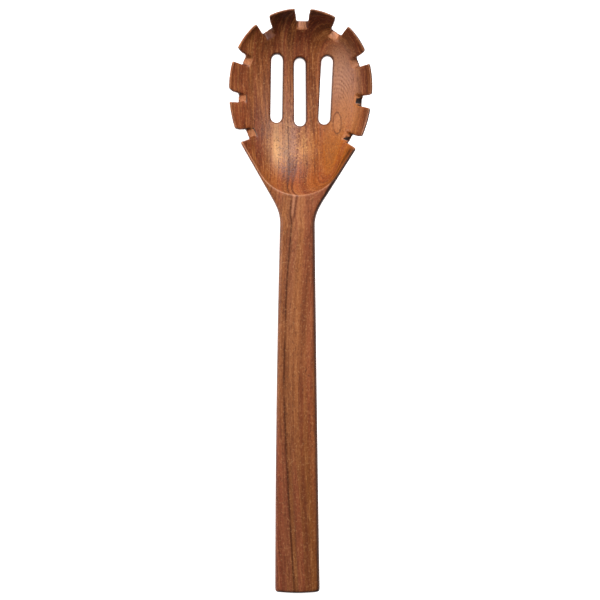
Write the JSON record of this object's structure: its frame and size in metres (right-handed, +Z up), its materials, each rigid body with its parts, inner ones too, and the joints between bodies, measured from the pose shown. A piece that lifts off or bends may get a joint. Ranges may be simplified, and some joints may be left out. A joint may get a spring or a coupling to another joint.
{
  "type": "pasta server",
  "caption": "Pasta server carved from one board of brown hardwood: an egg-shaped toothed bowl with drain slots, and a long flat handle that arches down to rest with the bowl.",
  "frame": {"origin": "centre of the footprint's box, on the surface that the server lies on", "axes": "+Y along the server toward the tip of the bowl, +X to the right as seen from above, +Z up out of the open hollow"},
  "size_m": [0.0838, 0.3424, 0.0265],
  "materials": {
    "wood": "oiled satin hardwood with fine dark pores"
  },
  "bodies": {
    "root": {"server_body": "wood"}
  },
  "joints": []
}
